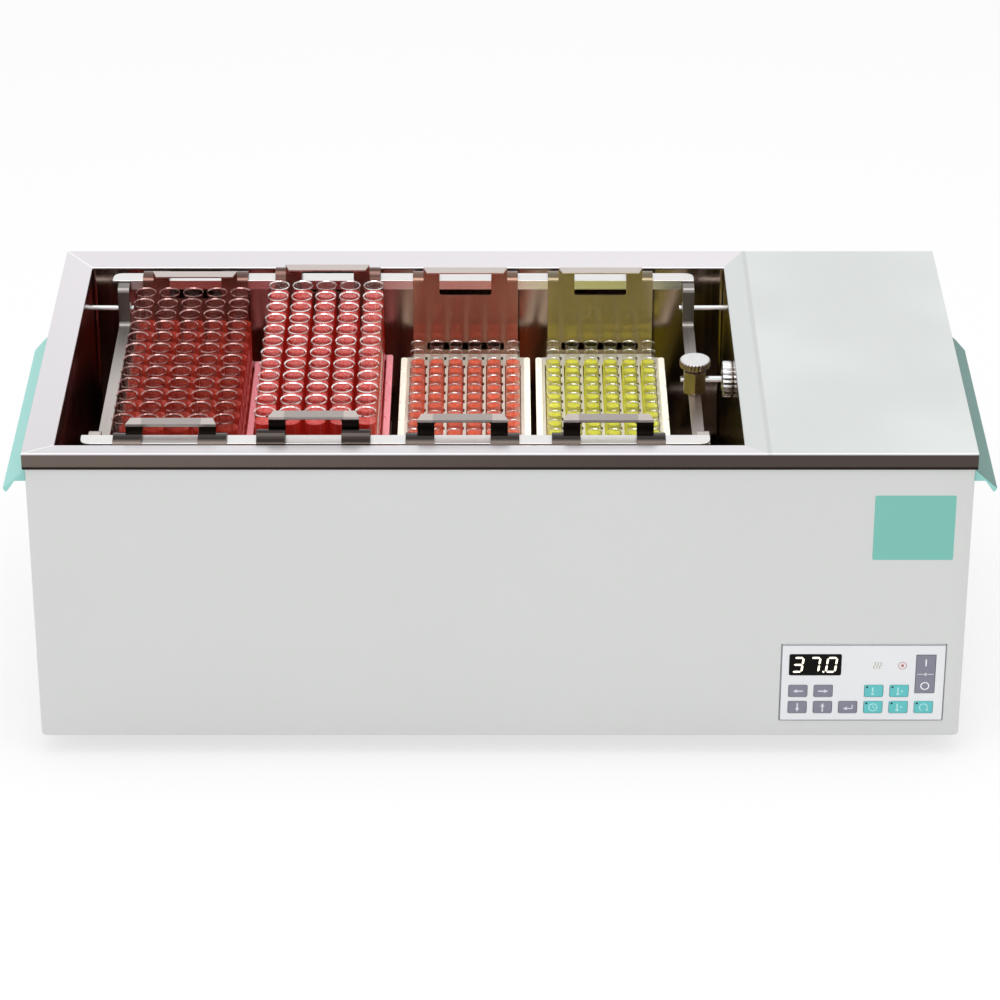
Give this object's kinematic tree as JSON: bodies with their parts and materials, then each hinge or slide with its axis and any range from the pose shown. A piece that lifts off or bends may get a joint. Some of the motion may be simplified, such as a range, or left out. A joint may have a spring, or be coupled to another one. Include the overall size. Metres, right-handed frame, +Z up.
{
  "type": "shaking water bath",
  "caption": "Bench-top shaking water bath: a stainless tank with a crank-driven carriage that carries lift-out tube racks, with keypad control on the front.",
  "frame": {"origin": "centre of the bounding box on the bench plane, under the middle of the deck", "axes": "+X to the right along the deck's long side, +Y from the front to the rear, +Z up"},
  "size_m": [0.7326, 0.35, 0.268],
  "materials": {
    "brushed_deck": "brushed stainless, satin",
    "polished_tank": "polished stainless, mirror-like",
    "painted_casing": "light grey powder coat, satin",
    "plain_sheet": "plain stainless, satin",
    "teal_grip": "moulded pale teal plastic, satin",
    "dark_plastic": "black moulded plastic",
    "panel_face": "printed overlay film, satin white",
    "display_glass": "dark clear window, gloss",
    "circuit_board": "green laminate",
    "heater_sheath": "drawn nickel alloy sheath",
    "brushed_rail": "brushed stainless strip",
    "rack_steel": "bright stainless sheet, gloss",
    "bronze": "turned brass, dulled",
    "dark_metal": "dark enamel",
    "machined_steel": "turned steel",
    "machined_aluminium": "turned aluminium",
    "black_rubber": "matt black rubber",
    "bush_plastic": "natural slide plastic",
    "grey_key": "satin grey key",
    "teal_key": "satin teal key",
    "dark_red_sample": "clear tube with dark red liquid",
    "red_sample": "clear tube with red liquid",
    "orange_sample": "clear tube with orange-red liquid",
    "yellow_sample": "clear tube with yellow-green liquid"
  },
  "bodies": {
    "housing": {"top_deck": "brushed_deck", "bath_tank": "polished_tank", "outer_casing": "painted_casing", "rear_panel": "painted_casing", "base_plate": "plain_sheet", "left_grip": "teal_grip", "right_grip": "teal_grip", "mains_inlet": "dark_plastic", "control_panel": "panel_face", "display_window": "display_glass", "control_board": "circuit_board", "heater_element": "heater_sheath", "false_floor": "plain_sheet", "temperature_probe": "plain_sheet", "gland_nut": "plain_sheet", "drive_bracket": "dark_metal", "bearing_housing": "machined_steel", "drive_motor": "dark_metal", "drive_belt": "black_rubber", "foot_front_left": "black_rubber", "foot_front_right": "black_rubber", "foot_rear_left": "black_rubber", "foot_rear_right": "black_rubber", "guide_pin_front_left": "machined_steel", "guide_pin_front_right": "machined_steel", "guide_pin_rear_left": "machined_steel", "guide_pin_rear_right": "machined_steel"},
    "carriage": {"front_rail": "brushed_rail", "rear_rail": "brushed_rail", "left_strap": "brushed_rail", "right_strap": "brushed_rail", "coupling_block": "bronze", "push_rod": "brushed_rail", "slide_bush_front_left": "bush_plastic", "slide_bush_front_right": "bush_plastic", "slide_bush_rear_left": "bush_plastic", "slide_bush_rear_right": "bush_plastic"},
    "clamp_screw": {"thumb_screw": "bronze"},
    "crank_shaft": {"crank": "machined_steel", "drive_pulley": "machined_aluminium"},
    "motor_shaft": {"motor_pulley": "machined_aluminium"},
    "rocker": {"power_rocker": "grey_key"},
    "rack_1": {"rack_1_frame": "rack_steel", "rack_1_tubes": "dark_red_sample"},
    "rack_2": {"rack_2_frame": "rack_steel", "rack_2_tubes": "red_sample"},
    "rack_3": {"rack_3_frame": "rack_steel", "rack_3_tubes": "orange_sample"},
    "rack_4": {"rack_4_frame": "rack_steel", "rack_4_tubes": "yellow_sample"},
    "key_left_body": {"key_left": "grey_key"},
    "key_right_body": {"key_right": "grey_key"},
    "key_temperature_body": {"key_temperature": "teal_key"},
    "key_warning_high_body": {"key_warning_high": "teal_key"},
    "key_down_body": {"key_down": "grey_key"},
    "key_up_body": {"key_up": "grey_key"},
    "key_enter_body": {"key_enter": "grey_key"},
    "key_timer_body": {"key_timer": "teal_key"},
    "key_warning_low_body": {"key_warning_low": "teal_key"},
    "key_shake_body": {"key_shake": "teal_key"}
  },
  "joints": [
    {"name": "carriage_slide", "type": "slide", "parent": "housing", "child": "carriage", "axis": [1, 0, 0], "range_m": [-0.0075, 0.0075]},
    {"name": "crank_turn", "type": "hinge", "parent": "housing", "child": "crank_shaft", "pos_m": [0.235, 0.005, 0.22], "axis": [0, 0, 1], "range_deg": [-90, 90]},
    {"name": "motor_turn", "type": "hinge", "parent": "housing", "child": "motor_shaft", "pos_m": [0.295, 0.005, 0.18], "axis": [0, 0, 1], "range_deg": [-270, 270]},
    {"name": "clamp_screw_turn", "type": "hinge", "parent": "carriage", "child": "clamp_screw", "pos_m": [0.15065, 0.005, 0.24], "axis": [0, 0, 1], "range_deg": [0, 360]},
    {"name": "rocker_tilt", "type": "hinge", "parent": "housing", "child": "rocker", "pos_m": [0.3205, -0.1716, 0.0716], "axis": [1, 0, 0], "range_deg": [-4, 4]},
    {"name": "rack_1_lift", "type": "slide", "parent": "carriage", "child": "rack_1", "axis": [0, 0, 1], "range_m": [0, 0.145]},
    {"name": "rack_2_lift", "type": "slide", "parent": "carriage", "child": "rack_2", "axis": [0, 0, 1], "range_m": [0, 0.145]},
    {"name": "rack_3_lift", "type": "slide", "parent": "carriage", "child": "rack_3", "axis": [0, 0, 1], "range_m": [0, 0.145]},
    {"name": "rack_4_lift", "type": "slide", "parent": "carriage", "child": "rack_4", "axis": [0, 0, 1], "range_m": [0, 0.145]},
    {"name": "key_left_press", "type": "slide", "parent": "housing", "child": "key_left_body", "axis": [0, 1, 0], "range_m": [0, 0.0004], "stiffness_N_per_m": 3000},
    {"name": "key_right_press", "type": "slide", "parent": "housing", "child": "key_right_body", "axis": [0, 1, 0], "range_m": [0, 0.0004], "stiffness_N_per_m": 3000},
    {"name": "key_temperature_press", "type": "slide", "parent": "housing", "child": "key_temperature_body", "axis": [0, 1, 0], "range_m": [0, 0.0004], "stiffness_N_per_m": 3000},
    {"name": "key_warning_high_press", "type": "slide", "parent": "housing", "child": "key_warning_high_body", "axis": [0, 1, 0], "range_m": [0, 0.0004], "stiffness_N_per_m": 3000},
    {"name": "key_down_press", "type": "slide", "parent": "housing", "child": "key_down_body", "axis": [0, 1, 0], "range_m": [0, 0.0004], "stiffness_N_per_m": 3000},
    {"name": "key_up_press", "type": "slide", "parent": "housing", "child": "key_up_body", "axis": [0, 1, 0], "range_m": [0, 0.0004], "stiffness_N_per_m": 3000},
    {"name": "key_enter_press", "type": "slide", "parent": "housing", "child": "key_enter_body", "axis": [0, 1, 0], "range_m": [0, 0.0004], "stiffness_N_per_m": 3000},
    {"name": "key_timer_press", "type": "slide", "parent": "housing", "child": "key_timer_body", "axis": [0, 1, 0], "range_m": [0, 0.0004], "stiffness_N_per_m": 3000},
    {"name": "key_warning_low_press", "type": "slide", "parent": "housing", "child": "key_warning_low_body", "axis": [0, 1, 0], "range_m": [0, 0.0004], "stiffness_N_per_m": 3000},
    {"name": "key_shake_press", "type": "slide", "parent": "housing", "child": "key_shake_body", "axis": [0, 1, 0], "range_m": [0, 0.0004], "stiffness_N_per_m": 3000}
  ],
  "couplings": [
    {"joint": "crank_turn", "follows": "carriage_slide", "rad_per_m": -209.4},
    {"joint": "motor_turn", "follows": "carriage_slide", "rad_per_m": -628.2}
  ]
}
